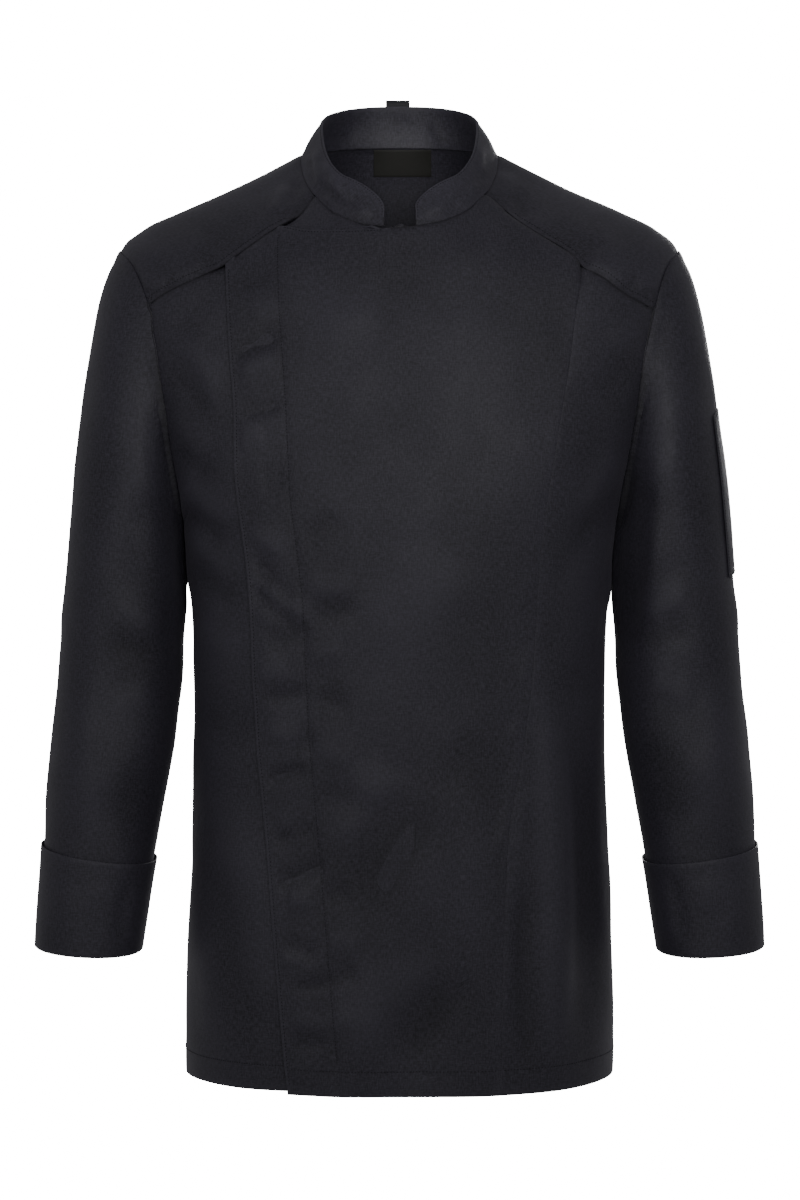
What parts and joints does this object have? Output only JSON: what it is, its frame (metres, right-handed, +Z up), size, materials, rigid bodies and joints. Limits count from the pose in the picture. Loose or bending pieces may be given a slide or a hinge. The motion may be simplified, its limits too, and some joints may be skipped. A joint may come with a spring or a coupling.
{
  "type": "chef jacket",
  "caption": "Long-sleeved chef jacket with stand collar, asymmetric concealed front, shoulder yoke and turned-back cuffs, filled out hollow as if worn.",
  "frame": {"origin": "middle of the neck, level with the high points of the shoulders, where the jacket hangs on its wearer", "axes": "+X is the wearer's left, the front faces -Y, +Z is up"},
  "size_m": [0.5922, 0.2556, 0.8091],
  "materials": {
    "twill": "charcoal cotton and polyester twill with a soft sheen",
    "label_satin": "plain black woven label",
    "loop_tape": "black woven tape"
  },
  "bodies": {
    "root": {"front_under": "twill", "front_flap": "twill", "front_side_left": "twill", "back": "twill", "yoke": "twill", "collar": "twill", "sleeve_right": "twill", "sleeve_left": "twill", "cuff_right": "twill", "cuff_left": "twill", "sleeve_pocket": "twill", "neck_label": "label_satin", "hanging_loop": "loop_tape"}
  },
  "joints": []
}
